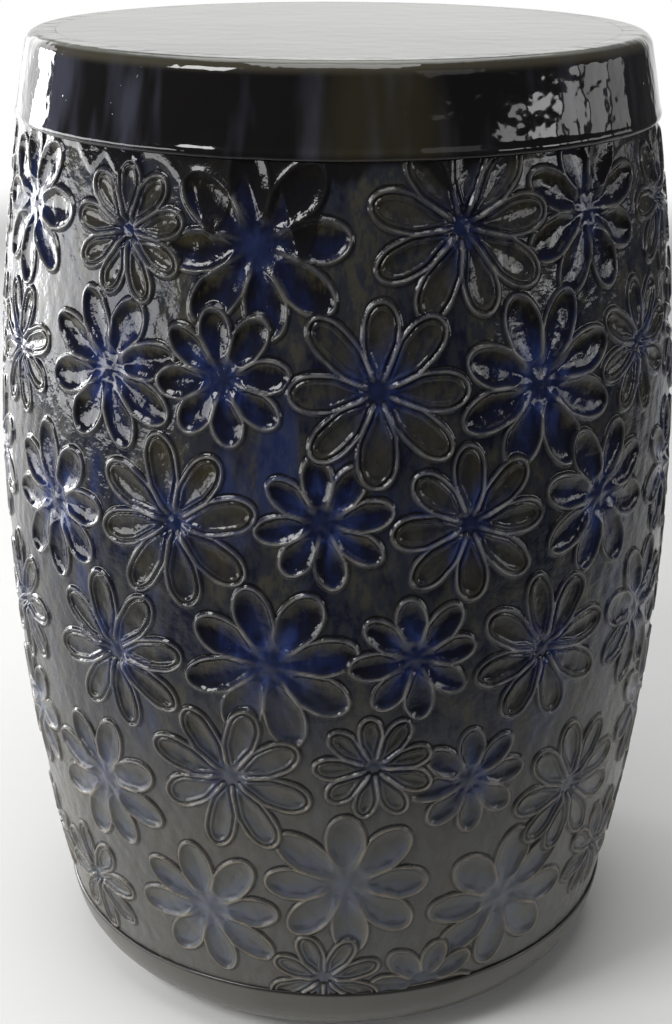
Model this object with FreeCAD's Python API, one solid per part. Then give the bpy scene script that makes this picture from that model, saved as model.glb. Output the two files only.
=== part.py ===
import FreeCAD, Part
import math
import os

# Ceramic garden stool: a hollow barrel with a plain collar, an all-over
# daisy relief and a plain rounded foot. Millimetres, +Z up, origin on the
# floor under the middle of the stool, front of the pattern facing -Y.

# Body
stool_height = 460.0
belly_radius = 163.3
belly_height = 241.0
side_arc_radius = 1036.0
wall_thickness = 9.0

# Seat slab and the collar that carries it
collar_top_width = 7.85
seat_thickness = 12.0
seat_ledge = 6.0
collar_height = 37.0
collar_proud = 0.8
collar_wall = 11.0
seat_edge_rounding = 6.0

# Foot, and the floor inside it
foot_height = 35.0
foot_proud = 0.4
foot_wall = 13.0
foot_edge_rounding = 31.0
foot_land = 20.0
floor_ledge = 7.95
floor_thickness = 9.0
floor_lift = 12.0
drain_radius = 45.0

# Pads under the foot
pad_count = 3
pad_radius = 8.0
pad_height = 2.5

# Daisy relief, pressed into the barrel. Shares are of a flower's own radius.
largest_flower_radius = 40.0
petal_depth = {"open": 2.8, "looped": 2.2}
hub_depth = {"open": 1.7, "looped": 1.3}
hub_share = 0.30
hub_rim_depth = 0.5
petal_low_share = 0.70
notch_share = 0.90
cutter_lift = 0.8
cutter_cap = 6.0
pattern_repeats = 2

# Half of the pattern, as one of the two mould halves presses it. Each flower:
# kind, degrees round from the front, height of its middle as a share of the
# relief, radius as a share of the largest one, petals, turn of the petals.
half_pattern = [
    ("open", -60, 0.925, 0.90, 8, 2),
    ("looped", -34, 0.920, 0.72, 9, 12),
    ("open", -12, 0.917, 0.98, 8, 8),
    ("looped", 19, 0.934, 0.97, 9, 6),
    ("open", 43, 0.936, 0.88, 8, 20),
    ("looped", 69, 0.925, 0.85, 8, 0),
    ("open", 94, 0.920, 0.85, 8, 15),
    ("looped", -62, 0.760, 0.78, 8, 20),
    ("open", -37, 0.773, 0.87, 8, 17),
    ("open", -17, 0.780, 0.74, 8, 8),
    ("looped", 6, 0.771, 0.97, 8, 0),
    ("open", 32, 0.765, 1.00, 8, 22),
    ("looped", 56, 0.776, 0.80, 8, 12),
    ("open", 79, 0.763, 0.82, 8, 31),
    ("looped", 99, 0.773, 0.70, 9, 4),
    ("open", -50, 0.600, 0.88, 8, 8),
    ("looped", -25, 0.616, 0.95, 8, 12),
    ("open", -2, 0.631, 0.72, 8, 9),
    ("looped", 20, 0.621, 0.90, 8, 1),
    ("open", 45, 0.619, 0.90, 8, 26),
    ("open", 71, 0.601, 0.85, 8, 7),
    ("looped", 101, 0.611, 0.93, 8, 26),
    ("looped", -66, 0.436, 0.82, 8, 4),
    ("looped", -37, 0.442, 0.92, 8, 12),
    ("open", -10, 0.462, 0.97, 8, 14),
    ("open", 12, 0.471, 0.72, 8, 7),
    ("looped", 34, 0.454, 0.93, 8, 12),
    ("open", 60, 0.441, 0.90, 8, 24),
    ("open", 87, 0.446, 0.88, 8, 2),
    ("open", -43, 0.255, 0.90, 8, 26),
    ("looped", -17, 0.313, 0.95, 8, 30),
    ("looped", 6, 0.335, 0.68, 9, 18),
    ("open", 22, 0.303, 0.72, 8, 3),
    ("looped", 44, 0.245, 0.90, 9, 18),
    ("open", 70, 0.289, 0.85, 8, 11),
    ("looped", 92, 0.265, 0.72, 8, 21),
    ("open", 113, 0.286, 0.80, 8, 5),
    ("looped", -52, 0.080, 0.75, 8, 10),
    ("open", -23, 0.113, 0.93, 8, 9),
    ("open", 2, 0.172, 1.00, 8, 2),
    ("open", 31, 0.113, 1.00, 8, 40),
    ("looped", 58, 0.111, 0.72, 8, 15),
    ("open", 84, 0.131, 0.93, 8, 6),
    ("looped", 108, 0.090, 0.65, 8, 24),
    ("looped", -2, 0.023, 0.68, 8, 20),
    ("open", 17, 0.003, 0.68, 8, 33),
]


def side_radius(height, outward=0.0):
    """Radius of the barrel's side at a height, moved outward by a distance."""
    arc = side_arc_radius + outward
    rise = height - belly_height
    return belly_radius - side_arc_radius + math.sqrt(arc ** 2 - rise ** 2)


def at(radius, height):
    """A point of a turned profile."""
    return FreeCAD.Vector(radius, 0, height)


def side_arc(low, high, outward=0.0):
    """The barrel's side as one arc between two heights."""
    middle = (low + high) / 2
    ends = [at(side_radius(z, outward), z) for z in (low, middle, high)]
    return Part.Arc(*ends).toShape()


def rounding_centre(height, radius, outward):
    """Middle of an edge rounding that is tangent to the side at a height."""
    return belly_radius - side_arc_radius + math.sqrt(
        (side_arc_radius + outward - radius) ** 2 - (height - belly_height) ** 2)


def side_rounding(height, radius, outward, end):
    """Rounding from the side to a level face: its arc, side end and flat end."""
    centre = at(rounding_centre(height, radius, outward), height)
    side_middle = at(belly_radius - side_arc_radius, belly_height)
    side_way = (centre - side_middle).normalize()
    flat_way = at(0, end)
    half_way = (side_way + flat_way).normalize()
    side_end = centre + side_way * radius
    flat_end = centre + flat_way * radius
    arc = Part.Arc(side_end, centre + half_way * radius, flat_end).toShape()
    return arc, side_end, flat_end


def lines(points):
    """Straight edges through the points in turn."""
    return [Part.LineSegment(a, b).toShape() for a, b in zip(points, points[1:])]


def turned(edges):
    """A solid of revolution from the edges of its profile."""
    wire = Part.Wire(Part.__sortEdges__(edges))
    axis = FreeCAD.Vector(0, 0, 1)
    return Part.Face(wire).revolve(FreeCAD.Vector(0, 0, 0), axis, 360)


def find_seat_radius():
    """The seat slab fills what the collar's level top leaves open."""
    lip_height = stool_height - seat_edge_rounding
    return rounding_centre(lip_height, seat_edge_rounding, collar_proud) - collar_top_width


def find_land_outer():
    """Radius at which the foot's rounding meets its level land."""
    curve_height = pad_height + foot_edge_rounding
    return rounding_centre(curve_height, foot_edge_rounding, foot_proud)


def find_floor_radius():
    """The floor slab lies on a ledge just outside the inner edge of the land."""
    return find_land_outer() - foot_land + floor_ledge


def make_seat_slab():
    """The round slab that is sat on, let into the collar."""
    base = FreeCAD.Vector(0, 0, stool_height - seat_thickness)
    return Part.makeCylinder(find_seat_radius(), seat_thickness, base)


def make_rim_band():
    """The plain collar: rounded lip, ledge for the seat slab, proud lower edge."""
    low = stool_height - collar_height
    ledge_top = stool_height - seat_thickness
    seat_radius = find_seat_radius()
    lip_height = stool_height - seat_edge_rounding
    lip, lip_side, lip_flat = side_rounding(lip_height, seat_edge_rounding, collar_proud, 1)
    side = side_arc(low, lip_side.z, collar_proud)
    inner = lines([
        lip_flat,
        at(seat_radius, stool_height),
        at(seat_radius, ledge_top),
        at(seat_radius - seat_ledge, ledge_top),
        at(side_radius(low, -collar_wall), low),
        at(side_radius(low, collar_proud), low),
    ])
    return turned([side, lip] + inner)


def make_foot_ring():
    """The plain foot: rounded underneath, with a land and a ledge for the floor."""
    low = pad_height
    curve_height = low + foot_edge_rounding
    curve, curve_side, curve_flat = side_rounding(curve_height, foot_edge_rounding, foot_proud, -1)
    side = side_arc(curve_side.z, foot_height, foot_proud)
    land_inner = find_land_outer() - foot_land
    floor_radius = find_floor_radius()
    inner = lines([
        curve_flat,
        at(land_inner, low),
        at(land_inner, floor_lift),
        at(floor_radius, floor_lift),
        at(floor_radius, floor_lift + floor_thickness),
        at(side_radius(foot_height, -foot_wall), foot_height),
        at(side_radius(foot_height, foot_proud), foot_height),
    ])
    return turned([side, curve] + inner)


def make_floor_slab():
    """The floor inside the foot, with the round drain hole in its middle."""
    base = FreeCAD.Vector(0, 0, floor_lift)
    disc = Part.makeCylinder(find_floor_radius(), floor_thickness, base)
    drain = Part.makeCylinder(drain_radius, floor_thickness, base)
    return disc.cut(drain)


def make_foot_pads():
    """Soft round pads stuck to the land of the foot."""
    ring = find_land_outer() - foot_land / 2
    pads = []
    for index in range(pad_count):
        turn = math.radians(360 * index / pad_count - 90)
        base = FreeCAD.Vector(ring * math.cos(turn), ring * math.sin(turn), 0)
        pads.append(Part.makeCylinder(pad_radius, pad_height, base))
    return Part.makeCompound(pads)


def make_plain_wall():
    """The barrel before its relief: curved outside, near even wall inside."""
    low = foot_height
    high = stool_height - collar_height
    outside = side_arc(low, high)
    heights = [low + (high - low) * share for share in (0, 0.3, 0.7, 1)]
    inside = [at(side_radius(z, -wall_thickness), z) for z in heights]
    bottom = [at(side_radius(low), low)] + inside
    return turned([outside] + lines(bottom + [at(side_radius(high), high)]))


def flower_point(turn, height, radius, share, way, lift):
    """A point of a flower: along a petal's way, lifted off the barrel's side."""
    across = radius * share * math.cos(math.radians(way))
    up = radius * share * math.sin(math.radians(way))
    angle = math.radians(turn - 90) + across / side_radius(height)
    out = side_radius(height + up) + lift
    return FreeCAD.Vector(out * math.cos(angle), out * math.sin(angle), height + up)


def make_flower(kind, turn, height, radius, petals, first_way):
    """One daisy as a faceted cutter: a low point in each petal, ridges between."""
    def spot(share, way, lift):
        return flower_point(turn, height, radius, share, way, lift)

    depth = petal_depth[kind]
    tip_share = petal_low_share + (1 - petal_low_share) * (depth + cutter_lift) / depth
    half_step = 180 / petals
    hub = spot(0, 0, -hub_depth[kind])
    cap = spot(0, 0, cutter_cap)
    facets = []
    for index in range(petals):
        way = first_way + 2 * half_step * index
        sides = (way - half_step, way + half_step)
        low = spot(petal_low_share, way, -depth)
        tip = spot(tip_share, way, cutter_lift)
        notches = [spot(notch_share, side, cutter_lift) for side in sides]
        roots = [hub, hub]
        if kind == "open":
            roots = [spot(hub_share, side, -hub_rim_depth) for side in sides]
            facets += [(hub, *roots), (low, *roots)]
        for root, notch in zip(roots, notches):
            facets += [(low, root, notch), (low, notch, tip), (cap, notch, tip)]
    faces = [Part.Face(Part.makePolygon([a, b, c, a])) for a, b, c in facets]
    return Part.Solid(Part.Shell(faces))


def make_barrel_wall():
    """The relief wall: every flower of the pattern is cut from the plain wall."""
    relief_height = stool_height - collar_height - foot_height
    cutters = []
    for repeat in range(pattern_repeats):
        for kind, turn, height_share, size, petals, way in half_pattern:
            full_turn = turn + repeat * 360 / pattern_repeats
            height = foot_height + height_share * relief_height
            radius = largest_flower_radius * size
            cutters.append(make_flower(kind, full_turn, height, radius, petals, way))
    return make_plain_wall().cut(cutters)


os.makedirs("parts", exist_ok=True)
pieces = {
    "seat_slab": make_seat_slab(),
    "rim_band": make_rim_band(),
    "barrel_wall": make_barrel_wall(),
    "foot_ring": make_foot_ring(),
    "floor_slab": make_floor_slab(),
    "foot_pads": make_foot_pads(),
}
for name, shape in pieces.items():
    shape.exportStep("parts/" + name + ".step")
    print(name, "solids", len(shape.Solids), "valid", shape.isValid(), "volume", round(shape.Volume))
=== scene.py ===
import functools
import math

import bpy
import numpy as np
from mathutils import Matrix, Vector


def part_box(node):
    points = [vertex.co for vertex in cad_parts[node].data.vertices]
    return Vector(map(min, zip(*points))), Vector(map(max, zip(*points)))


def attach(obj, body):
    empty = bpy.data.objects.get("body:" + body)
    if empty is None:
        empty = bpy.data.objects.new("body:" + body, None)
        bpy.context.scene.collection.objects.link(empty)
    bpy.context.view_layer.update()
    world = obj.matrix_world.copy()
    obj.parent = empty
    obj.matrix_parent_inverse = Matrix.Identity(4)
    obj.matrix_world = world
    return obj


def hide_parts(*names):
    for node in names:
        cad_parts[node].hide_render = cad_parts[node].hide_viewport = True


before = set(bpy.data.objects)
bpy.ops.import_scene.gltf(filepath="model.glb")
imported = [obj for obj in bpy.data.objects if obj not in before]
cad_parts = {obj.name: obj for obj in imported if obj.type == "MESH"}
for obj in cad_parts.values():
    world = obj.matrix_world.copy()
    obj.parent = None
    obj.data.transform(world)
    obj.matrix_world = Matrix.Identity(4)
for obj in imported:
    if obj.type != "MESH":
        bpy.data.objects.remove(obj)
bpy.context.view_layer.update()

bl_info = {
    "name": "Ceramic garden stool finish",
    "version": (1, 0, 0),
    "blender": (4, 5, 0),
    "location": "View3D > Sidebar > Stool",
    "description": "Glazed daisy relief, seat, collar, foot, floor and pads of a ceramic garden stool",
    "category": "Object",
}

MM = 0.001

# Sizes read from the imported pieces
WALL_LOW, WALL_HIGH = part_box("barrel_wall")
RIM_LOW, RIM_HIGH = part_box("rim_band")
FOOT_LOW, FOOT_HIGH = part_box("foot_ring")
SEAT_LOW, SEAT_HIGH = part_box("seat_slab")

# One mould half of the pattern. Each flower: kind, degrees round from the
# front, height of its middle as a share of the relief, radius as a share of
# the largest one, petals, turn of the petals.
HALF_PATTERN = [
    ("open", -60, 0.925, 0.90, 8, 2),
    ("looped", -34, 0.920, 0.72, 9, 12),
    ("open", -12, 0.917, 0.98, 8, 8),
    ("looped", 19, 0.934, 0.97, 9, 6),
    ("open", 43, 0.936, 0.88, 8, 20),
    ("looped", 69, 0.925, 0.85, 8, 0),
    ("open", 94, 0.920, 0.85, 8, 15),
    ("looped", -62, 0.760, 0.78, 8, 20),
    ("open", -37, 0.773, 0.87, 8, 17),
    ("open", -17, 0.780, 0.74, 8, 8),
    ("looped", 6, 0.771, 0.97, 8, 0),
    ("open", 32, 0.765, 1.00, 8, 22),
    ("looped", 56, 0.776, 0.80, 8, 12),
    ("open", 79, 0.763, 0.82, 8, 31),
    ("looped", 99, 0.773, 0.70, 9, 4),
    ("open", -50, 0.600, 0.88, 8, 8),
    ("looped", -25, 0.616, 0.95, 8, 12),
    ("open", -2, 0.631, 0.72, 8, 9),
    ("looped", 20, 0.621, 0.90, 8, 1),
    ("open", 45, 0.619, 0.90, 8, 26),
    ("open", 71, 0.601, 0.85, 8, 7),
    ("looped", 101, 0.611, 0.93, 8, 26),
    ("looped", -66, 0.436, 0.82, 8, 4),
    ("looped", -37, 0.442, 0.92, 8, 12),
    ("open", -10, 0.462, 0.97, 8, 14),
    ("open", 12, 0.471, 0.72, 8, 7),
    ("looped", 34, 0.454, 0.93, 8, 12),
    ("open", 60, 0.441, 0.90, 8, 24),
    ("open", 87, 0.446, 0.88, 8, 2),
    ("open", -43, 0.255, 0.90, 8, 26),
    ("looped", -17, 0.313, 0.95, 8, 30),
    ("looped", 6, 0.335, 0.68, 9, 18),
    ("open", 22, 0.303, 0.72, 8, 3),
    ("looped", 44, 0.245, 0.90, 9, 18),
    ("open", 70, 0.289, 0.85, 8, 11),
    ("looped", 92, 0.265, 0.72, 8, 21),
    ("open", 113, 0.286, 0.80, 8, 5),
    ("looped", -52, 0.080, 0.75, 8, 10),
    ("open", -23, 0.113, 0.93, 8, 9),
    ("open", 2, 0.172, 1.00, 8, 2),
    ("open", 31, 0.113, 1.00, 8, 40),
    ("looped", 58, 0.111, 0.72, 8, 15),
    ("open", 84, 0.131, 0.93, 8, 6),
    ("looped", 108, 0.090, 0.65, 8, 24),
    ("looped", -2, 0.023, 0.68, 8, 20),
    ("open", 17, 0.003, 0.68, 8, 33),
]

# Petal outline: two half ellipses that meet at its widest place, as shares of
# the flower's radius
PETAL_OUTLINES = {
    "open": {"middle": 0.640, "outward": 0.350, "inward": 0.560, "half_width": 0.225},
    "looped": {"middle": 0.700, "outward": 0.290, "inward": 0.640, "half_width": 0.200},
}
# Cross-section of a petal's edge, millimetres inward from the rim's crest and
# height over it
PETAL_SECTIONS = {
    "open": [(-1.3, -1.3), (-0.25, 0.0), (0.15, 0.0), (0.9, -0.9), (2.4, -1.8), (4.5, -2.3), (8.5, -2.7)],
    "looped": [
        (-1.3, -1.3), (-0.25, 0.0), (0.15, 0.0), (1.0, -1.4), (1.4, -1.4),
        (2.1, -0.35), (2.4, -0.35), (3.3, -1.4), (6.5, -1.9),
    ],
}
HUBS = {
    "open": {"depth": 2.5, "inner": 0.16, "outer": 0.42},
    "looped": {"depth": 2.6, "inner": 0.08, "outer": 0.24},
}
# Knob in the middle of a hub and the rays round it: height in millimetres, the
# rest as shares of the flower's radius
KNOB = {"height": 0.6, "reach": 0.08}
RAYS = {"height": 0.3, "middle": 0.24, "reach": 0.10}
# Star of pooled glaze in a hub: its reach as a share of the flower's radius, and
# how much further it runs along the petals, below zero between them. It is a
# little taller than wide, as the glaze ran down
STARS = {"open": (0.38, 0.10), "looped": (0.36, -0.10)}
STAR_SQUASH = 0.85
# Petals of one flower differ by hand: turn in radians, then shares
PETAL_TURNS = (-0.045, 0.045)
PETAL_LENGTHS = (0.93, 1.04)
PETAL_WIDTHS = (0.90, 1.03)
PETAL_DEPTHS = (0.88, 1.06)
# Half width of a petal's thin ridge, half the gap between two petals, the least
# inward distance left there, where a petal's floor begins, and how its edge
# blends into the ground, in millimetres
RIDGE_WIDTH = 0.42
PETAL_GAP = 0.3
GAP_INSIDE = -0.35
PETAL_FLOOR = (0.2, 1.4)
EDGE_BLEND = (-0.8, 0.2)
# Dark lines inside a looped petal's edge, and outside every petal's, in its
# grooves and at the foot of its step: pooled glaze with painted shade.
# Strength, millimetres inward, half width
LOOP_POOL_AND_SHADE_LINES = ((1.0, 1.2, 0.5), (0.6, 3.2, 0.4))
OUTER_POOL_AND_SHADE_LINE = (0.85, -1.4, 0.5)
# Thick glaze that ran from under the collar: degrees round, length and half
# width in millimetres; how far a run smooths, rises over and fills the relief;
# then how many short runs there are, and their ranges
LONG_DRIPS = [(-19, 30, 9), (-5, 38, 8), (-11, 22, 7), (17, 12, 8), (47, 16, 9)]
DRIP = {"blur": 1.5, "height": 0.45, "cover": 0.75}
SHORT_DRIPS = 46
SHORT_LENGTHS = (3, 11)
SHORT_WIDTHS = (3, 9)
# Unevenness of the pressed ground: millimetres, most lobes round and up
GROUND_WAVES = {"amount": 0.16, "lobes_most": 120, "rise_most": 500}
# Slopes that make the glaze sag, and that leave a dark line under a ledge, of
# pooled glaze with painted shade: blur, reach and whole drop in millimetres
SAG = {"blur": 1.8, "reach": 3.6, "whole": 1.8}
LEDGE = {"blur": 0.6, "reach": 1.1, "whole": 0.5}
# Heights in metres over which the pale lower glaze turns dark, and the cobalt
# middle turns umber
DARK_START = (0.12, 0.22)
TOP_START = (0.35, 0.41)
# Sizes of the collar, of the foot and of the foot's ledge for the floor, in
# metres, and how unevenly the two turned rims were finished
COLLAR = {"proud": 0.0008, "lip": 0.006, "ledge": 0.006, "wall": 0.011}
# Low bead round the collar's foot
BEAD = {"height": 0.0004, "rise": 0.0030, "width": 0.0014}
FOOT = {"proud": 0.0004, "rounding": 0.031, "land": 0.020, "wall": 0.013}
FLOOR_SEAT = {"radius": 0.099, "low": 0.012, "high": 0.021}
COLLAR_WAVE, FOOT_WAVE = 0.00012, 0.0001
TURNED_COLUMNS = 720
# The surround that the gloss mirrors away from the white background
SURROUND = (0.062, 0.062, 0.066)
# Soft lamps: name, degrees from the front towards +X, degrees up, distance, size
# and strength, and the height that they are aimed at
MIDDLE, COLLAR_LEVEL = 0.25, 0.45
PANES = ((59, 3.2), (72, 5.4), (85, 2.8), (98, 1.8), (111, 1.0))
LAMPS = [
    ("top_light", 180, 62, 1.7, (1.3, 1.2), 1.6, MIDDLE),
    ("overhead", 0, 78, 1.6, (0.9, 0.9), 4.4, MIDDLE),
    ("left_low", -92, 0, 1.4, (2.2, 0.40), 6.2, 0.21),
    ("left_back", -140, 4, 1.7, (0.9, 1.5), 2.0, MIDDLE),
    ("left_window", -123, 0, 1.6, (0.28, 0.75), 12.0, 0.44),
    *((f"right_pane_{azimuth}", azimuth, 2, 2.0, (0.36, 0.44), strength, COLLAR_LEVEL)
      for azimuth, strength in PANES),
    ("front_left", -52, 38, 2.0, (0.6, 0.7), 14.0, MIDDLE),
    ("front_right", 40, 30, 2.2, (0.7, 0.7), 0.5, MIDDLE),
]


def stool_props():
    """The settings held by the scene."""
    return bpy.context.scene.stool_shape, bpy.context.scene.stool_glaze


def metres(name, description, default):
    """A length among the stool's settings."""
    return bpy.props.FloatProperty(name=name, description=description, default=default, unit="LENGTH")


def paint(name, description, default):
    """A colour among the stool's settings."""
    return bpy.props.FloatVectorProperty(
        name=name, description=description, subtype="COLOR", default=default)


class StoolShape(bpy.types.PropertyGroup):
    """Sizes of the finished surfaces."""

    belly_radius: metres("Belly radius", "Radius of the barrel at its widest", 0.1633)
    belly_height: metres("Belly height", "Height of the widest place", 0.241)
    side_arc: metres("Side arc", "Radius of the arc that the side follows", 1.036)
    wall: metres("Wall", "Thickness of the barrel's wall", 0.009)
    largest_flower: metres("Largest flower", "Radius of the largest flower", 0.040)
    ground_depth: metres("Ground depth", "Depth of the plain ground below the ridge tops", 0.0013)
    glaze_softness: metres("Glaze softness", "How far the glaze rounds the relief's edges", 0.00028)
    staves: bpy.props.IntProperty(
        name="Staves", description="Meshes that the wall is divided into", default=12, min=1)
    stave_columns: bpy.props.IntProperty(
        name="Columns", description="Faces across each stave", default=150, min=8)
    rows: bpy.props.IntProperty(
        name="Rows", description="Faces up the wall", default=638, min=8)
    edge_round: metres("Edge round", "Rounding of the collar's and the foot's edges", 0.0016)


class StoolGlaze(bpy.types.PropertyGroup):
    """Colours of the glazes and of the clay."""

    umber: paint(
        "Umber", "Near-black brown of the collar, the drips and the dark lines", (0.0070, 0.0062, 0.0062))
    violet: paint("Violet", "Faint runs in the collar", (0.058, 0.060, 0.084))
    ink: paint("Ink", "Blue-black of deep glaze in the petals", (0.008, 0.010, 0.024))
    deep_blue: paint(
        "Deep blue", "Blue of the glaze sunk at the lower sides of petals", (0.008, 0.014, 0.060))
    loop_floor: paint("Loop floor", "Grey-olive floors of the looped petals", (0.052, 0.050, 0.040))
    cobalt: paint("Cobalt", "Blue where the glaze pools", (0.025, 0.044, 0.150))
    olive: paint("Olive", "Thin glaze at the upper sides of petals", (0.047, 0.041, 0.021))
    lip: paint("Lip", "Olive-brown of the lip round the seat", (0.060, 0.055, 0.038))
    ridge: paint("Ridge", "Thin glaze on the ridges of the dark part", (0.27, 0.262, 0.250))
    slate: paint("Slate", "Ground between the flowers of the dark part", (0.026, 0.028, 0.037))
    stone: paint("Stone", "Grey-olive of the lower part and the foot", (0.098, 0.095, 0.083))
    sand: paint("Sand", "Thin glaze on the ridges of the lower part", (0.26, 0.22, 0.165))
    mist: paint("Mist", "Milky grey-blue of the lower pools", (0.092, 0.102, 0.128))
    seat: paint("Seat", "Grey-olive of the seat", (0.19, 0.19, 0.165))
    seat_cloud: paint("Seat cloud", "Darker clouds in the seat", (0.125, 0.130, 0.118))
    clay: paint("Clay", "Bare fired clay", (0.42, 0.36, 0.29))
    rubber: paint("Rubber", "Pads under the foot", (0.03, 0.03, 0.03))


class StoolStage(bpy.types.PropertyGroup):
    """Camera, floor and light."""

    target_height: metres("Target height", "Height of the point that the camera looks at", 0.230)
    distance: metres("Distance", "Distance of the camera from that point", 0.8425)
    elevation: bpy.props.FloatProperty(
        name="Elevation", description="Angle of the camera above the horizon",
        default=math.radians(21.04), subtype="ANGLE")
    roll: bpy.props.FloatProperty(
        name="Roll", description="Turn of the camera about its own axis",
        default=math.radians(0.24), subtype="ANGLE")
    lens: bpy.props.FloatProperty(
        name="Lens", description="Focal length in millimetres for a sensor 36 mm wide",
        default=89.19)
    floor_colour: paint("Floor", "Colour of the floor", (0.86, 0.86, 0.85))


def smooth_step(value, low, high):
    """0 below low, 1 above high, smooth between."""
    share = np.clip((value - low) / (high - low), 0.0, 1.0)
    return share * share * (3.0 - 2.0 * share)


def side_radius(shape, height, outward=0.0):
    """Radius of the barrel's side at a height, moved outward by a distance."""
    arc = shape.side_arc + outward
    rise = height - shape.belly_height
    return shape.belly_radius - shape.side_arc + np.sqrt(arc ** 2 - rise ** 2)


def petal_distance(along, across, outline, length, width):
    """Distance to a petal's outline, near enough: negative inside."""
    along = along - outline["middle"] * length
    half_length = np.where(along > 0, outline["outward"], outline["inward"]) * length
    half_width = outline["half_width"] * width
    share = np.hypot(along / half_length, across / half_width)
    slope = np.hypot(along / half_length ** 2, across / half_width ** 2)
    return share * (share - 1.0) / np.maximum(slope, 1e-6)


def press_flower(field, across, up, kind, radius, petals, first_way, draws):
    """Presses one flower into a patch of the relief field, all in millimetres."""
    outline = PETAL_OUTLINES[kind]
    section = PETAL_SECTIONS[kind]
    hub = HUBS[kind]
    step = 2 * math.pi / petals
    reach = np.hypot(across, up)
    way = np.arctan2(up, across) - math.radians(first_way)
    index = np.round(way / step).astype(int) % petals
    ranges = (PETAL_TURNS, PETAL_LENGTHS, PETAL_WIDTHS, PETAL_DEPTHS)
    turns, lengths, widths, depths = [draws.uniform(*limits, petals) for limits in ranges]
    local = (way + step / 2) % step - step / 2
    swing = local - turns[index]
    inside = -petal_distance(reach * np.cos(swing), reach * np.sin(swing), outline,
                             radius * lengths[index], radius * widths[index])
    between = reach * np.sin(step / 2 - np.abs(local)) - PETAL_GAP
    inside = np.minimum(inside, np.maximum(between, GAP_INSIDE))
    depth = np.interp(inside, *zip(*section)) * depths[index]
    fade = smooth_step(reach / radius, hub["inner"], hub["outer"])
    floor = -hub["depth"]
    top = floor * (1 - fade)
    height = np.minimum(depth, top) if kind == "open" else floor + (depth - floor) * fade
    spoke = np.cos(2 * math.pi * local / step)
    knob = KNOB["height"] * np.exp(-(reach / (KNOB["reach"] * radius)) ** 2)
    ring = np.exp(-((reach / radius - RAYS["middle"]) / RAYS["reach"]) ** 2)
    height = height + knob - RAYS["height"] * spoke * ring
    edge = -section[0][0]
    core = smooth_step(-reach / radius, -hub["outer"], -hub["inner"])
    blend = [limit - edge for limit in EDGE_BLEND]
    cover = np.maximum(smooth_step(inside, *blend), core)
    field["height"] = field["height"] * (1 - cover) + height * cover
    ridge = np.exp(-(inside / RIDGE_WIDTH) ** 2) * fade
    field["ridge"] = field["ridge"] * (1 - cover) + ridge * cover
    star_reach, star_rays = STARS[kind]
    star = star_reach + star_rays * spoke
    from_hub = np.hypot(across, STAR_SQUASH * up)
    field["hub"] = field["hub"] * (1 - cover) + np.exp(-(from_hub / (star * radius)) ** 2) * cover
    recess = smooth_step(inside, *PETAL_FLOOR) * cover
    field["recess"] = field["recess"] * (1 - cover) + recess
    looped = 1.0 if kind == "looped" else 0.0
    field["looped"] = field["looped"] * (1 - cover) + looped * recess
    # Dark lines in the grooves and round the foot of each petal's step: pooled glaze with painted shade
    pooled_and_shaded_lines, second, outside = [
        strength * np.exp(-((inside - inward) / width) ** 2) * fade
        for strength, inward, width in (*LOOP_POOL_AND_SHADE_LINES, OUTER_POOL_AND_SHADE_LINE)]
    pooled_and_shaded_lines = looped * (pooled_and_shaded_lines + second)
    field["pooled_and_shaded_lines"] = field["pooled_and_shaded_lines"] * (1 - cover) + np.maximum(pooled_and_shaded_lines * cover, outside * (1 - core))


def blurred(values, sigma_columns, sigma_rows):
    """A soft copy of a field that runs all the way round and stops at both ends."""
    out = values
    for axis, sigma in ((0, sigma_columns), (1, sigma_rows)):
        half = max(1, int(round(3 * sigma)))
        taps = np.exp(-0.5 * (np.arange(-half, half + 1) / sigma) ** 2)
        taps /= taps.sum()
        edges = [(0, 0), (0, 0)]
        edges[axis] = (half, half)
        padded = np.pad(out, edges, mode="wrap" if axis == 0 else "edge")
        total = np.zeros_like(out)
        count = out.shape[axis]
        for index, tap in enumerate(taps):
            part = slice(index, index + count)
            total += tap * (padded[part] if axis == 0 else padded[:, part])
        out = total
    return out


def run_drips(fields, angles, heights, pitch):
    """Lays the thick runs under the collar over the relief, softening what is below."""
    draws = np.random.default_rng(5)
    short = [(draws.uniform(-180, 180), draws.uniform(*SHORT_LENGTHS), draws.uniform(*SHORT_WIDTHS))
             for _ in range(SHORT_DRIPS)]
    length = np.zeros(len(angles))
    for turn, reach, half_width in short + LONG_DRIPS:
        offset = (angles - math.radians(turn - 90) + math.pi) % (2 * math.pi) - math.pi
        offset = offset * RIM_HIGH.x / MM
        length = np.maximum(length, reach * np.exp(-(offset / half_width) ** 2))
    below_top = (heights[-1] - heights)[None, :] / MM
    drip = smooth_step(length[:, None] + 2.0 - below_top, 0.0, 4.0)
    blur, cover = DRIP["blur"] * MM, DRIP["cover"]
    flooded = blurred(fields["height"], blur / pitch[0], blur / pitch[1])
    rounded = DRIP["height"] * np.sqrt(drip) * MM
    fields["height"] = fields["height"] * (1 - cover * drip) + cover * flooded * drip + rounded
    fields["drip"] = drip


def waviness(turn, along, amount, lobes_most=34, rise_most=110):
    """Slow unevenness of a hand-finished surface, from about -amount to amount."""
    draws = np.random.default_rng(11)
    total = np.zeros(np.broadcast(turn, along).shape)
    count = 14
    for _ in range(count):
        lobes = draws.integers(2, lobes_most)
        rise = draws.uniform(-rise_most, rise_most)
        total = total + np.sin(lobes * turn + rise * along + draws.uniform(0, 2 * math.pi))
    return amount * total / math.sqrt(count) / 2


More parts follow.
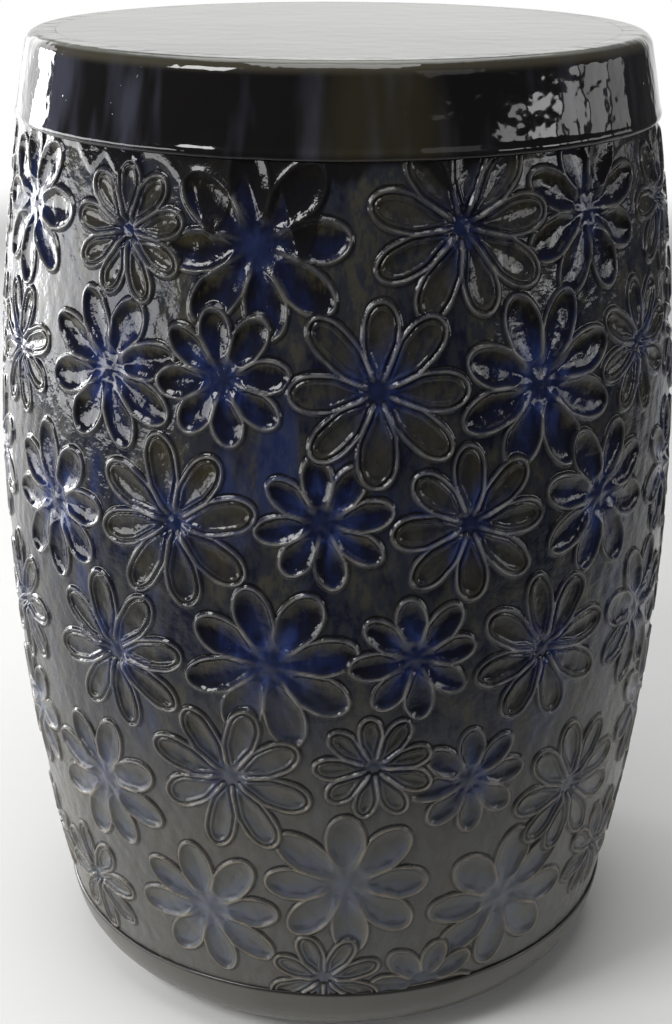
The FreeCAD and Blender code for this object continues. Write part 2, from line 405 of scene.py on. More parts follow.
def relief_field(shape):
    """Height and glaze masks of the whole relief on an even net of angle and height."""
    columns = shape.staves * shape.stave_columns
    low, high = WALL_LOW.z, WALL_HIGH.z
    angles = np.arange(columns) * 2 * math.pi / columns
    heights = np.linspace(low, high, shape.rows + 1)
    net = (columns, shape.rows + 1)
    ground = -shape.ground_depth / MM
    fields = {"height": np.full(net, ground), "ridge": np.zeros(net),
              "hub": np.zeros(net), "recess": np.zeros(net), "looped": np.zeros(net),
              "pooled_and_shaded_lines": np.zeros(net)}
    draws = np.random.default_rng(7)
    flowers = [(kind, turn + 180 * repeat, *rest)
               for repeat in range(2) for kind, turn, *rest in HALF_PATTERN]
    for kind, turn, share, size, petals, first_way in sorted(flowers, key=lambda f: f[0] != "open"):
        height = low + share * (high - low)
        radius = shape.largest_flower * size
        girth = side_radius(shape, height)
        middle = math.radians(turn - 90)
        span = 1.15 * radius
        rows = np.nonzero(np.abs(heights - height) < span)[0]
        offsets = (angles - middle + math.pi) % (2 * math.pi) - math.pi
        picked = np.nonzero(np.abs(offsets) * girth < span)[0]
        patch = np.ix_(picked, rows)
        across = np.repeat((offsets[picked] * girth / MM)[:, None], len(rows), 1)
        up = np.repeat(((heights[rows] - height) / MM)[None, :], len(picked), 0)
        part = {name: values[patch] for name, values in fields.items()}
        press_flower(part, across, up, kind, radius / MM, petals, first_way, draws)
        for name in fields:
            fields[name][patch] = part[name]
    grid_turn, grid_rise = np.meshgrid(angles, heights, indexing="ij")
    fields["height"] += waviness(grid_turn, grid_rise, **GROUND_WAVES)
    row_pitch = (high - low) / shape.rows
    column_pitch = 2 * math.pi * shape.belly_radius / columns
    soft = (shape.glaze_softness / column_pitch, shape.glaze_softness / row_pitch)
    fields["height"] = blurred(fields["height"], *soft) * MM
    run_drips(fields, angles, heights, (column_pitch, row_pitch))
    soft_height = {}
    for name, slope in (("sag", SAG), ("ledge", LEDGE)):
        blur = slope["blur"] * MM
        source = blurred(fields["height"], blur / column_pitch, blur / row_pitch)
        soft_height[name] = source
        step = int(round(slope["reach"] * MM / row_pitch))
        below = np.pad(source, ((0, 0), (step, 0)), mode="edge")[:, :-step]
        above = np.pad(source, ((0, 0), (0, step)), mode="edge")[:, step:]
        fields[name] = np.clip((below - above) / (slope["whole"] * MM), -1, 1)
    # The ledge mask marks the dark line in hollows next to a step: pooled glaze with painted shade
    hollow = np.clip((soft_height["sag"] - fields["height"]) / (0.25 * MM), 0, 1)
    fields["ledge"] = np.clip(fields["ledge"], 0, 1) * hollow * (1 - 0.5 * fields["recess"])
    return angles, heights, fields


def turned_points(angles, radii, heights):
    """Points of a surface given by angle, radius and height."""
    return np.stack([radii * np.cos(angles), radii * np.sin(angles), heights], axis=-1)


def surface_normals(points):
    """Outward normals of a net of points that closes all the way round, columns first."""
    along = np.roll(points, -1, 0) - np.roll(points, 1, 0)
    up = np.gradient(points, axis=1)
    normals = np.cross(along, up)
    return normals / np.linalg.norm(normals, axis=-1, keepdims=True)


def net_faces(columns, rows, first=0):
    """Faces of a net of points, columns first, numbered from first."""
    index = np.arange((columns + 1) * (rows + 1)).reshape(columns + 1, rows + 1) + first
    corners = (index[:-1, :-1], index[1:, :-1], index[1:, 1:], index[:-1, 1:])
    return np.stack([corner.ravel() for corner in corners], axis=-1)


def place(name, points, faces, materials, normals=None, uv=None, slots=None, fields=None):
    """A mesh object from points and faces, smooth, with its materials."""
    mesh = bpy.data.meshes.new(name)
    mesh.from_pydata(points, [], faces)
    for material in materials:
        mesh.materials.append(material)
    mesh.polygons.foreach_set("use_smooth", np.ones(len(mesh.polygons), bool))
    if slots is not None:
        mesh.polygons.foreach_set("material_index", slots)
    for key, values in (fields or {}).items():
        attribute = mesh.attributes.new(key, "FLOAT", "POINT")
        attribute.data.foreach_set("value", np.asarray(values, np.float32))
    if uv is not None:
        order = np.empty(len(mesh.loops), np.int32)
        mesh.loops.foreach_get("vertex_index", order)
        layer = mesh.uv_layers.new(name="OFBake")
        layer.data.foreach_set("uv", np.asarray(uv, np.float32)[order].ravel())
    if normals is not None:
        mesh.normals_split_custom_set_from_vertices(normals)
    piece = bpy.data.objects.new(name, mesh)
    bpy.context.scene.collection.objects.link(piece)
    return piece


class Wiring:
    """Short forms for placing and joining the nodes of one tree."""

    def __init__(self, tree):
        self.tree = tree

    def add(self, kind, **settings):
        """A node of that kind with its settings."""
        node = self.tree.nodes.new(kind)
        for key, value in settings.items():
            setattr(node, key, value)
        return node

    def feed(self, socket, value):
        """Joins an output to the socket, or sets it to a plain value."""
        if isinstance(value, bpy.types.NodeSocket):
            self.tree.links.new(value, socket)
        elif hasattr(value, "__len__") and len(value) == 3 and socket.type == "RGBA":
            socket.default_value = (*value, 1.0)
        else:
            socket.default_value = value

    def maths(self, operation, first, second=0.0, clamp=False):
        """One step of arithmetic."""
        node = self.add("ShaderNodeMath", operation=operation, use_clamp=clamp)
        self.feed(node.inputs[0], first)
        self.feed(node.inputs[1], second)
        return node.outputs[0]

    def times(self, first, second, **settings):
        """A product."""
        return self.maths("MULTIPLY", first, second, **settings)

    def mix(self, share, first, second):
        """A colour between two colours."""
        node = self.add("ShaderNodeMix", data_type="RGBA")
        self.feed(node.inputs[0], share)
        self.feed(node.inputs[6], first)
        self.feed(node.inputs[7], second)
        return node.outputs[2]

    def span(self, value, low, high, to_low=0.0, to_high=1.0):
        """The value taken from one range to another, held at both ends."""
        node = self.add("ShaderNodeMapRange", clamp=True, interpolation_type="SMOOTHSTEP")
        for socket, number in zip(node.inputs, (value, low, high, to_low, to_high)):
            self.feed(socket, number)
        return node.outputs[0]

    def noise(self, scale, stretch=(1, 1, 1), detail=3.0, rough=0.5):
        """Noise over the object, stretched along its axes."""
        place_node = self.add("ShaderNodeTexCoord")
        mapping = self.add("ShaderNodeMapping")
        self.feed(mapping.inputs["Vector"], place_node.outputs["Object"])
        mapping.inputs["Scale"].default_value = stretch
        node = self.add("ShaderNodeTexNoise")
        self.feed(node.inputs["Vector"], mapping.outputs[0])
        node.inputs["Scale"].default_value = scale
        node.inputs["Detail"].default_value = detail
        node.inputs["Roughness"].default_value = rough
        return node.outputs[0]

    def reading(self, name):
        """A mask kept on the mesh."""
        return self.add("ShaderNodeAttribute", attribute_name=name).outputs["Fac"]

    def height(self):
        """Height over the floor, in metres."""
        node = self.add("ShaderNodeTexCoord")
        parts = self.add("ShaderNodeSeparateXYZ")
        self.feed(parts.inputs[0], node.outputs["Object"])
        return parts.outputs[2]

    def group(self, tree, **values):
        """A shared effect with its own values, and its outputs by name."""
        node = self.add("ShaderNodeGroup", node_tree=tree)
        for key, value in values.items():
            self.feed(node.inputs[key.replace("_", " ").capitalize()], value)
        return node.outputs


def group_tree(name, inputs, outputs):
    """A new node group with its sockets and the wiring of its tree."""
    tree = bpy.data.node_groups.new(name, "ShaderNodeTree")
    for label, default in inputs:
        socket = tree.interface.new_socket(label, in_out="INPUT", socket_type="NodeSocketFloat")
        socket.default_value = default
    for label in outputs:
        tree.interface.new_socket(label, in_out="OUTPUT", socket_type="NodeSocketFloat")
    wiring = Wiring(tree)
    return tree, wiring, wiring.add("NodeGroupInput"), wiring.add("NodeGroupOutput")


@functools.cache
def glaze_runs():
    """Streaks that ran down in the firing: a mask from 0 to 1."""
    tree, w, given, result = group_tree("Glaze runs", [("Low", 0.4), ("High", 0.7)], ["Mask"])
    fine = w.noise(90.0, (1, 1, 0.06), 2.0)
    broad = w.noise(26.0, (1, 1, 0.12), 3.0)
    blend = w.times(fine, 0.45)
    blend = w.maths("ADD", blend, w.times(broad, 0.55))
    w.feed(result.inputs["Mask"], w.span(blend, given.outputs["Low"], given.outputs["High"]))
    return tree


@functools.cache
def glaze_skin():
    """Height of the soft waves, the fine grain and the pinholes of a fired glaze."""
    sockets = [("Waves", 1.0), ("Pinholes", 1.0), ("Grain", 1.0)]
    tree, w, given, result = group_tree("Glaze skin", sockets, ["Height"])
    waves = w.times(w.noise(70.0, detail=2.0), given.outputs["Waves"])
    fine = w.times(w.noise(300.0, detail=2.0), 0.22)
    fine = w.times(fine, given.outputs["Grain"])
    cells = w.add("ShaderNodeTexVoronoi", feature="F1")
    where = w.add("ShaderNodeTexCoord")
    w.feed(cells.inputs["Vector"], where.outputs["Object"])
    cells.inputs["Scale"].default_value = 260.0
    pits = w.span(cells.outputs["Distance"], 0.03, 0.16, 1.0, 0.0)
    pits = w.times(pits, w.span(w.noise(55.0), 0.56, 0.66))
    pits = w.times(pits, given.outputs["Pinholes"])
    height = w.maths("SUBTRACT", w.maths("ADD", waves, fine), w.times(pits, 0.6))
    w.feed(result.inputs["Height"], height)
    return tree


@functools.cache
def glaze_clouds():
    """Broad soft clouds in a glaze: a mask from 0 to 1."""
    tree, w, given, result = group_tree("Glaze clouds", [("Low", 0.35), ("High", 0.70)], ["Mask"])
    cloud = w.noise(14.0, (1, 2.5, 1), 4.0)
    w.feed(result.inputs["Mask"], w.span(cloud, given.outputs["Low"], given.outputs["High"]))
    return tree


def new_material(name):
    """A material with one shader, and the wiring of its tree."""
    material = bpy.data.materials.new(name)
    material.use_nodes = True
    shader = material.node_tree.nodes["Principled BSDF"]
    return material, Wiring(material.node_tree), shader


def finish_with_bump(w, shader, height, strength, distance):
    """A bump of that strength on the shader."""
    bump = w.add("ShaderNodeBump")
    bump.inputs["Strength"].default_value = strength
    bump.inputs["Distance"].default_value = distance
    w.feed(bump.inputs["Height"], height)
    w.feed(shader.inputs["Normal"], bump.outputs[0])


@functools.cache
def relief_glaze():
    """Flowing glaze: umber above, cobalt pools in the middle, grey-olive stone below."""
    _, glaze = stool_props()
    material, w, shader = new_material("Relief glaze")
    height = w.height()
    runs = w.group(glaze_runs(), low=0.40, high=0.62)["Mask"]
    fine_runs = w.group(glaze_runs(), low=0.47, high=0.53)["Mask"]
    drift = w.noise(9.0, (1, 1, 0.6), 3.0)
    drifted = w.maths("ADD", height, w.times(w.maths("SUBTRACT", drift, 0.5), 0.16))
    dark = w.span(drifted, *DARK_START)
    top = w.span(drifted, *TOP_START)
    sag, hub, recess = w.reading("sag"), w.reading("hub"), w.reading("recess")
    ridge, ledge, drip = w.reading("ridge"), w.reading("ledge"), w.reading("drip")
    looped, pooled_and_shaded_lines = w.reading("looped"), w.reading("pooled_and_shaded_lines")
    mottle = w.span(w.noise(230.0, (1, 1, 0.45), 3.0, 0.65), 0.40, 0.60)
    patches = w.span(w.noise(70.0, (1, 1, 0.5), 3.0), 0.42, 0.58)

    slate = w.mix(mottle, glaze.slate, w.mix(patches, glaze.ink, glaze.loop_floor))
    stone = w.mix(w.times(runs, 0.5), glaze.stone, w.mix(0.5, glaze.stone, glaze.mist))
    stone = w.mix(w.times(mottle, 0.45), stone, w.mix(0.5, glaze.stone, glaze.olive))
    ground = w.mix(dark, stone, slate)
    spread = w.times(w.span(w.noise(24.0, (1, 1, 0.5), 4.0), 0.50, 0.64), fine_runs)
    middle = w.times(dark, w.maths("SUBTRACT", 1.0, top))
    ground = w.mix(w.times(spread, w.times(middle, 0.45)), ground, glaze.cobalt)

    worn = w.maths("ADD", sag, w.times(w.maths("SUBTRACT", mottle, 0.5), 0.5))
    low_side = w.span(worn, -0.2, 1.1)
    high_side = w.span(worn, -1.1, -0.1, 1.0, 0.0)
    deep = w.mix(w.times(fine_runs, 0.6), glaze.umber, glaze.ink)
    floor_dark = w.mix(w.maths("POWER", high_side, 1.3), deep, glaze.olive)
    loop_floor = w.mix(mottle, glaze.loop_floor, w.mix(patches, glaze.slate, glaze.olive))
    floor_dark = w.mix(w.times(looped, 0.8), floor_dark, loop_floor)
    floor_pale = w.mix(low_side, glaze.stone, glaze.mist)
    colour = w.mix(recess, ground, w.mix(dark, floor_pale, floor_dark))

    sunk = w.times(recess, low_side)
    sunk = w.times(sunk, w.maths("SUBTRACT", 0.75, w.times(looped, 0.5)))
    colour = w.mix(sunk, colour, w.mix(dark, glaze.mist, w.mix(patches, glaze.ink, glaze.deep_blue)))
    milky = w.span(w.noise(190.0, (1, 1, 0.35), 3.0), 0.40, 0.62)
    star = w.times(hub, w.span(patches, 0.0, 1.0, 0.8, 1.7), clamp=True)
    blue = w.mix(milky, glaze.deep_blue, glaze.cobalt)
    blue = w.mix(w.times(top, 0.6), blue, glaze.umber)
    blue = w.mix(w.span(hub, 0.80, 0.97), blue, w.mix(0.3, glaze.ink, glaze.cobalt))
    colour = w.mix(star, colour, w.mix(dark, glaze.mist, blue))

    thin = w.times(ridge, w.span(w.noise(160.0, (1, 1, 0.4), 2.0), 0.3, 0.7, 0.25, 1.0))
    thin_colour = w.mix(top, glaze.ridge, w.mix(0.5, glaze.olive, glaze.ridge))
    colour = w.mix(thin, colour, w.mix(dark, glaze.sand, thin_colour))
    # Umber lines in the grooves, round the petals and along the steps: pooled glaze with painted shade
    broken_pooled_and_shaded = w.times(pooled_and_shaded_lines, w.span(mottle, 0.0, 1.0, 0.6, 1.0))
    pooled_and_shaded_line = w.maths("MAXIMUM", w.span(ledge, 0.2, 0.8), broken_pooled_and_shaded)
    colour = w.mix(w.times(pooled_and_shaded_line, 0.88), colour, glaze.umber)
    colour = w.mix(w.times(drip, 0.9), colour, glaze.umber)
    w.feed(shader.inputs["Base Color"], colour)
    skin = w.group(glaze_skin(), waves=1.0, pinholes=0.6, grain=3.2)
    gloss = w.maths("MAXIMUM", dark, drip)
    rough = w.span(w.times(gloss, w.span(patches, 0.0, 1.0, 1.0, 0.6)), 0.0, 1.0, 0.27, 0.11)
    w.feed(shader.inputs["Roughness"], rough)
    shader.inputs["Specular IOR Level"].default_value = 0.35
    finish_with_bump(w, shader, skin["Height"], 0.5, 0.0008)
    return material


@functools.cache
def collar_glaze():
    """Near-black glossy glaze with faint blue runs and an olive break at the lip."""
    _, glaze = stool_props()
    material, w, shader = new_material("Collar glaze")
    runs = w.group(glaze_runs(), low=0.46, high=0.66)["Mask"]
    colour = w.mix(w.times(runs, 0.75), glaze.umber, glaze.violet)
    brown = w.span(w.noise(11.0, (1, 1, 0.3), 2.0), 0.55, 0.68)
    colour = w.mix(w.times(brown, 0.5), colour, glaze.olive)
    height = w.height()
    lip = w.span(height, RIM_HIGH.z - 0.0060, RIM_HIGH.z - 0.0025)
    colour = w.mix(w.times(lip, 0.75), colour, glaze.lip)
    flat = w.span(height, RIM_HIGH.z - 0.0016, RIM_HIGH.z - 0.0004)
    colour = w.mix(flat, colour, w.mix(w.group(glaze_clouds())["Mask"], glaze.seat, glaze.seat_cloud))
    w.feed(shader.inputs["Base Color"], colour)
    w.feed(shader.inputs["Roughness"], w.span(flat, 0.0, 1.0, 0.06, 0.14))
    skin = w.group(glaze_skin(), waves=1.0, pinholes=0.3, grain=0.12)
    finish_with_bump(w, shader, skin["Height"], 0.6, 0.0012)
    return material


@functools.cache
def seat_glaze():
    """Smooth grey-olive glaze with broad clouds."""
    _, glaze = stool_props()
    material, w, shader = new_material("Seat glaze")
    colour = w.mix(w.group(glaze_clouds())["Mask"], glaze.seat, glaze.seat_cloud)
    w.feed(shader.inputs["Base Color"], colour)
    shader.inputs["Roughness"].default_value = 0.14
    skin = w.group(glaze_skin(), waves=1.0, pinholes=0.5, grain=0.5)
    finish_with_bump(w, shader, skin["Height"], 0.2, 0.0006)
    return material


@functools.cache
def foot_glaze():
    """Satin grey-olive glaze, bare clay on the land, and a brown line under the relief: pooled glaze with
    painted shade in the crease.
    """
    _, glaze = stool_props()
    material, w, shader = new_material("Foot glaze")
    height = w.height()
    cloud = w.group(glaze_clouds())["Mask"]
    colour = w.mix(cloud, glaze.stone, w.mix(0.35, glaze.stone, glaze.olive))
    # Dark band at the top of the foot, in the crease under the relief: pooled glaze with painted shade
    pooled_and_shaded_line = w.span(height, FOOT_HIGH.z - 0.0022, FOOT_HIGH.z - 0.0008)
    colour = w.mix(w.times(pooled_and_shaded_line, 0.85), colour, glaze.umber)
    bare = w.span(height, FOOT_LOW.z + 0.0003, FOOT_LOW.z + 0.0012, 1.0, 0.0)
    colour = w.mix(bare, colour, glaze.clay)
    w.feed(shader.inputs["Base Color"], colour)
    w.feed(shader.inputs["Roughness"], w.span(bare, 0.0, 1.0, 0.27, 0.8))
    skin = w.group(glaze_skin(), waves=1.0, pinholes=1.0, grain=0.8)
    finish_with_bump(w, shader, skin["Height"], 0.4, 0.0008)
    return material


@functools.cache
def bare_clay():
    """Bare fired clay with grog and the marks of sponging."""
    _, glaze = stool_props()
    material, w, shader = new_material("Bare clay")
    grain = w.noise(900.0, detail=2.0)
    cloud = w.noise(30.0, (1, 1, 3), 3.0)
    colour = w.mix(w.span(cloud, 0.3, 0.7), glaze.clay, (0.34, 0.28, 0.22))
    colour = w.mix(w.times(w.span(grain, 0.60, 0.72), 0.5), colour, (0.20, 0.15, 0.11))
    w.feed(shader.inputs["Base Color"], colour)
    w.feed(shader.inputs["Roughness"], w.span(grain, 0.3, 0.7, 0.75, 0.92))
    finish_with_bump(w, shader, grain, 0.4, 0.0003)
    return material


@functools.cache
def pad_rubber():
    """Matt soft rubber with dust in its grain."""
    _, glaze = stool_props()
    material, w, shader = new_material("Pad rubber")
    grain = w.noise(1400.0, detail=2.0)
    colour = w.mix(w.times(w.span(grain, 0.5, 0.8), 0.4), glaze.rubber, (0.09, 0.085, 0.08))
    w.feed(shader.inputs["Base Color"], colour)
    w.feed(shader.inputs["Roughness"], w.span(grain, 0.3, 0.7, 0.65, 0.85))
    finish_with_bump(w, shader, grain, 0.3, 0.0002)
    return material


def stave(index, shape, angles, heights, fields, points, normals):
    """One closed length of the wall: relief outside, plain clay inside."""
    columns, rows = shape.stave_columns, shape.rows
    first = index * columns
    picked = np.arange(first, first + columns + 1) % len(angles)
    outer = points[picked]
    blocks = [outer.reshape(-1, 3)]
    ways = [normals[picked].reshape(-1, 3)]
    faces = [tuple(face) for face in net_faces(columns, rows).tolist()]
    relief_count = len(faces)
    inner_columns, inner_rows = 8, 12
    begin = angles[first]
    turn = np.linspace(begin, begin + 2 * math.pi / shape.staves, inner_columns + 1)
    rise = np.linspace(heights[0], heights[-1], inner_rows + 1)
    grid_turn, grid_rise = np.meshgrid(turn, rise, indexing="ij")
    inner = turned_points(grid_turn, side_radius(shape, grid_rise, -shape.wall), grid_rise)
    count = len(blocks[0])
    blocks.append(inner.reshape(-1, 3))
    inward = np.stack([-np.cos(grid_turn), -np.sin(grid_turn), np.zeros_like(grid_turn)], -1)
    ways.append(inward.reshape(-1, 3))
    faces += [tuple(face[::-1]) for face in net_faces(inner_columns, inner_rows, count).tolist()]
    count += len(blocks[1])
    start, end = turn[0], turn[-1]
    borders = [
        (outer[0][::-1], inner[0], (math.sin(start), -math.cos(start), 0)),
        (outer[-1], inner[-1][::-1], (-math.sin(end), math.cos(end), 0)),
        (outer[:, 0], inner[::-1, 0], (0, 0, -1)),
        (outer[::-1, -1], inner[:, -1], (0, 0, 1)),
    ]
    for outside, inside, way in borders:
        loop = np.concatenate([outside, inside])
        blocks.append(loop)
        ways.append(np.tile(way, (len(loop), 1)))
        faces.append(tuple(range(count, count + len(loop))))
        count += len(loop)
    grid_u, grid_v = np.meshgrid(np.linspace(0.01, 0.99, columns + 1),
                                 np.linspace(0.07, 0.99, rows + 1), indexing="ij")
    uv = np.zeros((count, 2))
    net = (columns + 1) * (rows + 1)
    uv[:net] = np.stack([grid_u, grid_v], -1).reshape(-1, 2)
    rest = np.concatenate(blocks)[net:]
    uv[net:, 0] = 0.01 + 0.98 * (rest[:, 2] - heights[0]) / (heights[-1] - heights[0])
    uv[net:, 1] = 0.01 + 0.04 * ((np.arctan2(rest[:, 1], rest[:, 0]) - begin) % (2 * math.pi)
                                 * shape.staves / (2 * math.pi)) % 1.0
    slots = np.ones(len(faces), np.int32)
    slots[:relief_count] = 0
    kept = {}
    for key in ("ridge", "hub", "recess", "looped", "pooled_and_shaded_lines", "sag", "ledge", "drip"):
        kept[key] = np.zeros(count)
        kept[key][:net] = fields[key][picked].reshape(-1)
    return place(f"relief_wall_{index + 1}", np.concatenate(blocks), faces,
                 [relief_glaze(), bare_clay()],
                 np.concatenate(ways), uv, slots, kept)


class STOOL_OT_relief(bpy.types.Operator):
    """Barrel wall with its daisy relief"""

    bl_idname = "stool.relief"
    bl_label = "Relief wall"

    def execute(self, context):
        shape, _ = stool_props()
        angles, heights, fields = relief_field(shape)
        grid_turn, grid_rise = np.meshgrid(angles, heights, indexing="ij")
        radii = side_radius(shape, grid_rise) + fields["height"]
        points = turned_points(grid_turn, radii, grid_rise)
        normals = surface_normals(points)
        for index in range(shape.staves):
            piece = stave(index, shape, angles, heights, fields, points, normals)
            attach(piece, "root")
            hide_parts("barrel_wall")
        return {"FINISHED"}


def arc_points(centre, radius, start, end, steps):
    """Points of an arc in a profile, from one angle to another, in degrees."""
    ways = np.radians(np.linspace(start, end, steps + 1))
    return [(centre[0] + radius * math.cos(a), centre[1] + radius * math.sin(a)) for a in ways]


def turned_piece(name, profile, materials, wave, slots):
    """A closed turned shell from its profile, uneven by the wave's height."""
    columns = TURNED_COLUMNS
    profile = np.array(profile)
    turn = np.arange(columns) * 2 * math.pi / columns
    grid_turn, radii = np.meshgrid(turn, profile[:, 0], indexing="ij")
    rises = np.repeat(profile[None, :, 1], columns, 0)
    lengths = np.concatenate([[0], np.cumsum(np.hypot(*np.diff(profile, axis=0).T))])
    if wave:
        radii = radii + (waviness(grid_turn, lengths[None, :], wave) - wave) * (radii > 0.02)
    points = turned_points(grid_turn, radii, rises)
    count = len(profile)
    faces = []
    wrap = np.arange(columns)
    after = (wrap + 1) % columns
    for step in range(count):
        follow = (step + 1) % count
        quads = np.stack([wrap * count + step, after * count + step,
                          after * count + follow, wrap * count + follow], -1)
        faces += [tuple(quad) for quad in quads.tolist()]
    picked = np.repeat(np.asarray(slots, np.int32), columns)
    piece = place(name, points.reshape(-1, 3), faces, materials, slots=picked)
    piece.data.set_sharp_from_angle(angle=math.radians(40))
    return piece


def rounding_centre(shape, height, radius, outward):
    """Radius at which a rounding has its middle, and the side's slope there in degrees."""
    rise = height - shape.belly_height
    reach = math.sqrt((shape.side_arc + outward - radius) ** 2 - rise ** 2)
    slope = math.degrees(math.asin(rise / shape.side_arc))
    return shape.belly_radius - shape.side_arc + reach, slope


def side_profile(shape, low, high, outward, steps):
    """Profile points up the side."""
    return [(float(side_radius(shape, z, outward)), z) for z in np.linspace(low, high, steps + 1)]


class STOOL_OT_collar(bpy.types.Operator):
    """Collar with its rounded lip, and the seat let into it"""

    bl_idname = "stool.collar"
    bl_label = "Seat and collar"

    def execute(self, context):
        shape, _ = stool_props()
        proud, lip = COLLAR["proud"], COLLAR["lip"]
        round_low = shape.edge_round
        low = RIM_LOW.z
        seat_radius = SEAT_HIGH.x
        top = RIM_HIGH.z
        lip_z = top - lip
        centre_r, side_start = rounding_centre(shape, lip_z, lip, proud)
        low_r = float(side_radius(shape, low + round_low, proud)) - round_low
        under = arc_points((low_r, low + round_low), round_low, -90, -8, 6)
        side = [(r + BEAD["height"] * math.exp(-((z - low - BEAD["rise"]) / BEAD["width"]) ** 2), z)
                for r, z in side_profile(shape, low + round_low * 1.2, lip_z + 0.0005, proud, 44)]
        lip_arc = arc_points((centre_r, lip_z), lip, side_start + 4, 90, 12)
        flat = [(r, top) for r in np.linspace(centre_r - 0.0005, seat_radius, 5)]
        ledge = [(seat_radius, SEAT_LOW.z), (seat_radius - COLLAR["ledge"], SEAT_LOW.z)]
        inner = [(float(side_radius(shape, low, -COLLAR["wall"])), low)]
        profile = under + side + lip_arc + flat + ledge + inner
        glazed = len(under + side + lip_arc + flat) - 1
        slots = [0] * glazed + [1] * (len(profile) - glazed - 1) + [1]
        piece = turned_piece("collar", profile, [collar_glaze(), bare_clay()], COLLAR_WAVE, slots)
        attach(piece, "root")
        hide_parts("rim_band")
        seat = turned_piece("seat", [(0.0001, top), (0.0001, SEAT_LOW.z), (seat_radius, SEAT_LOW.z),
                                     (seat_radius, top)] + [(r, top) for r in (0.10, 0.05)],
                            [seat_glaze(), bare_clay()], 0.0, [1, 1, 1, 0, 0, 0])
        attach(seat, "root")
        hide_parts("seat_slab")
        return {"FINISHED"}


class STOOL_OT_foot(bpy.types.Operator):
    """Rounded foot, the floor inside it and the pads under it"""

    bl_idname = "stool.foot"
    bl_label = "Foot, floor and pads"

    def execute(self, context):
        shape, _ = stool_props()
        proud, rounding = FOOT["proud"], FOOT["rounding"]
        low = FOOT_LOW.z
        high = FOOT_HIGH.z
        curve_z = low + rounding
        centre_r, side_way = rounding_centre(shape, curve_z, rounding, proud)
        edge = shape.edge_round
        land_inner = centre_r - FOOT["land"]
        curve = arc_points((centre_r, curve_z), rounding, -90, side_way, 24)
        top_r = float(side_radius(shape, high - edge, proud)) - edge
        upper = arc_points((top_r, high - edge), edge, 0, 90, 6)
        floor_radius, floor_low = FLOOR_SEAT["radius"], FLOOR_SEAT["low"]
        inner = [(float(side_radius(shape, high, -FOOT["wall"])), high),
                 (floor_radius, FLOOR_SEAT["high"]), (floor_radius, floor_low),
                 (land_inner, floor_low), (land_inner, low)]
        profile = curve + upper + inner
        glazed = len(curve + upper) - 1
        slots = [0] * glazed + [1] * (len(profile) - glazed)
        foot = turned_piece("foot", profile, [foot_glaze(), bare_clay()], FOOT_WAVE, slots)
        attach(foot, "root")
        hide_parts("foot_ring")
        for name, maker in (("floor_slab", bare_clay), ("foot_pads", pad_rubber)):
            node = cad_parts[name]
            node.data.materials.clear()
            node.data.materials.append(maker())
        return {"FINISHED"}


def area_light(name, azimuth, elevation, distance, size, strength, aim_height):
    """A soft rectangular light; azimuth is degrees from the front towards +X."""
    turn, rise = math.radians(azimuth), math.radians(elevation)
    way = Vector((math.sin(turn) * math.cos(rise), -math.cos(turn) * math.cos(rise), math.sin(rise)))
    data = bpy.data.lights.new(name, "AREA")
    data.shape = "RECTANGLE"
    data.size, data.size_y = size
    data.energy = strength * math.pi * size[0] * size[1]
    light = bpy.data.objects.new(name, data)
    bpy.context.scene.collection.objects.link(light)
    light.location = Vector((0, 0, aim_height)) + way * distance
    light.rotation_euler = way.to_track_quat("Z", "Y").to_euler()
    light.visible_camera = False


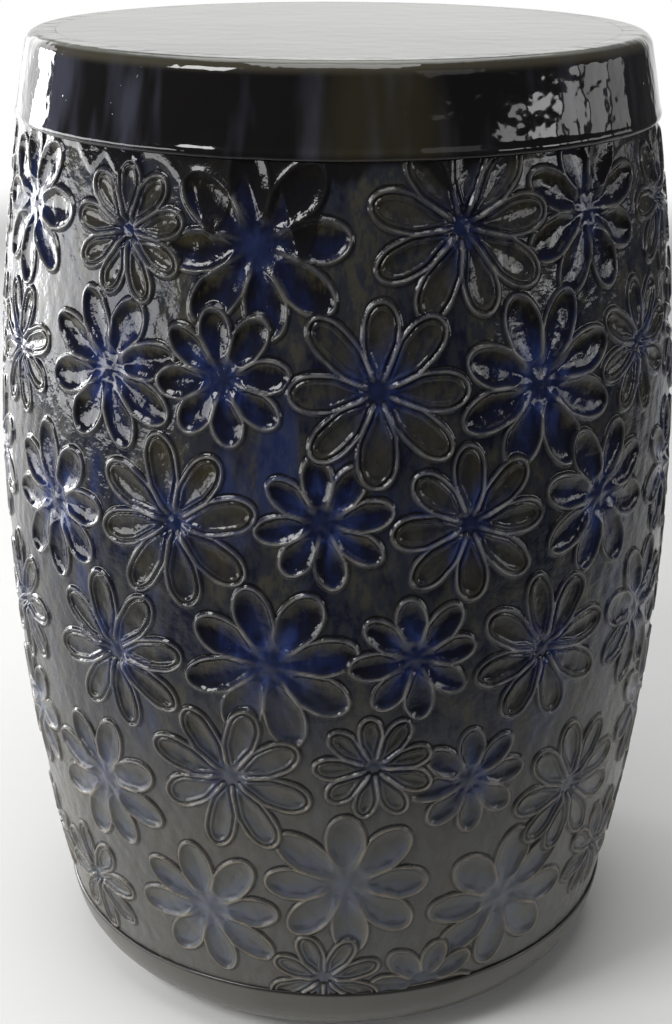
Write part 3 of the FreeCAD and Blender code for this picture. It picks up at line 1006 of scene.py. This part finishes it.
class STOOL_OT_stage(bpy.types.Operator):
    """Camera, pale floor and soft light"""

    bl_idname = "stool.stage"
    bl_label = "Stage"

    def execute(self, context):
        stage = context.scene.stool_stage
        camera_data = bpy.data.cameras.new("camera")
        camera = bpy.data.objects.new("camera", camera_data)
        context.scene.collection.objects.link(camera)
        camera_data.sensor_fit = "HORIZONTAL"
        camera_data.sensor_width = 36.0
        camera_data.lens = stage.lens
        camera_data.shift_x = -0.0012
        camera_data.shift_y = -0.0234
        target = Vector((0, 0, stage.target_height))
        back = Vector((0, -math.cos(stage.elevation), math.sin(stage.elevation)))
        camera.location = target + back * stage.distance
        aim = back.to_track_quat("Z", "Y").to_matrix().to_4x4()
        camera.rotation_euler = (aim @ Matrix.Rotation(stage.roll, 4, "Z")).to_euler()
        context.scene.camera = camera
        context.scene.view_settings.view_transform = "Standard"
        self.make_floor(stage)
        self.make_world(context)
        for lamp in LAMPS:
            area_light(*lamp)
        return {"FINISHED"}

    def make_floor(self, stage):
        """A pale round floor that fades out."""
        columns, rings = 96, 24
        turn = np.arange(columns) * 2 * math.pi / columns
        radii = np.linspace(0.02, 1.0, rings)
        grid_turn, grid_r = np.meshgrid(turn, radii, indexing="ij")
        middle = np.array([0.0, 0.75, 0.0])
        points = turned_points(grid_turn, grid_r * 1.5, np.zeros_like(grid_r)) + middle
        faces = []
        for ring in range(rings - 1):
            for column in range(columns):
                after = (column + 1) % columns
                faces.append((column * rings + ring, column * rings + ring + 1,
                              after * rings + ring + 1, after * rings + ring))
        faces.append(tuple(column * rings for column in range(columns)))
        material, w, shader = new_material("floor_paint")
        shader.inputs["Base Color"].default_value = (*stage.floor_colour, 1)
        shader.inputs["Roughness"].default_value = 0.9
        shader.inputs["Specular IOR Level"].default_value = 0.1
        fade = np.repeat((1 - smooth_step(radii, 0.55, 0.98))[None, :], columns, 0)
        floor = place("floor", points.reshape(-1, 3), faces, [material], fields={"solid": fade.ravel()})
        w.feed(shader.inputs["Alpha"], w.reading("solid"))

    def make_world(self, context):
        """White for the camera, and in the gloss only behind the stool; dim grey elsewhere."""
        world = bpy.data.worlds.new("surround")
        context.scene.world = world
        world.use_nodes = True
        w = Wiring(world.node_tree)
        background = world.node_tree.nodes["Background"]
        path = w.add("ShaderNodeLightPath")
        way = w.add("ShaderNodeSeparateXYZ")
        w.feed(way.inputs[0], w.add("ShaderNodeTexCoord").outputs["Generated"])
        back, low = w.span(way.outputs[1], 0.80, 0.90), w.span(way.outputs[2], 0.10, 0.34, 1, 0)
        behind = w.times(back, low)
        mirrored = w.maths("MAXIMUM", path.outputs["Is Glossy Ray"], path.outputs["Is Transmission Ray"])
        seen = w.maths("MAXIMUM", path.outputs["Is Camera Ray"], w.times(mirrored, behind))
        w.feed(background.inputs["Color"], w.mix(seen, SURROUND, (1.0, 1.0, 1.0)))


class STOOL_PT_panel(bpy.types.Panel):
    """Steps that make the stool's finish"""

    bl_label = "Garden stool"
    bl_idname = "STOOL_PT_panel"
    bl_space_type = "VIEW_3D"
    bl_region_type = "UI"
    bl_category = "Stool"

    def draw(self, context):
        for operator in OPERATORS:
            self.layout.operator(operator.bl_idname)


OPERATORS = (STOOL_OT_stage, STOOL_OT_relief, STOOL_OT_collar, STOOL_OT_foot)
SETTINGS = {"stool_shape": StoolShape, "stool_glaze": StoolGlaze, "stool_stage": StoolStage}
CLASSES = (*SETTINGS.values(), *OPERATORS, STOOL_PT_panel)


def register():
    for cls in CLASSES:
        bpy.utils.register_class(cls)
    for key, cls in SETTINGS.items():
        setattr(bpy.types.Scene, key, bpy.props.PointerProperty(type=cls))


def unregister():
    for key in SETTINGS:
        delattr(bpy.types.Scene, key)
    for cls in reversed(CLASSES):
        bpy.utils.unregister_class(cls)


def main():
    """Makes the whole finish."""
    register()
    bpy.ops.stool.stage()
    bpy.ops.stool.relief()
    bpy.ops.stool.collar()
    bpy.ops.stool.foot()


if __name__ == "__main__":
    main()
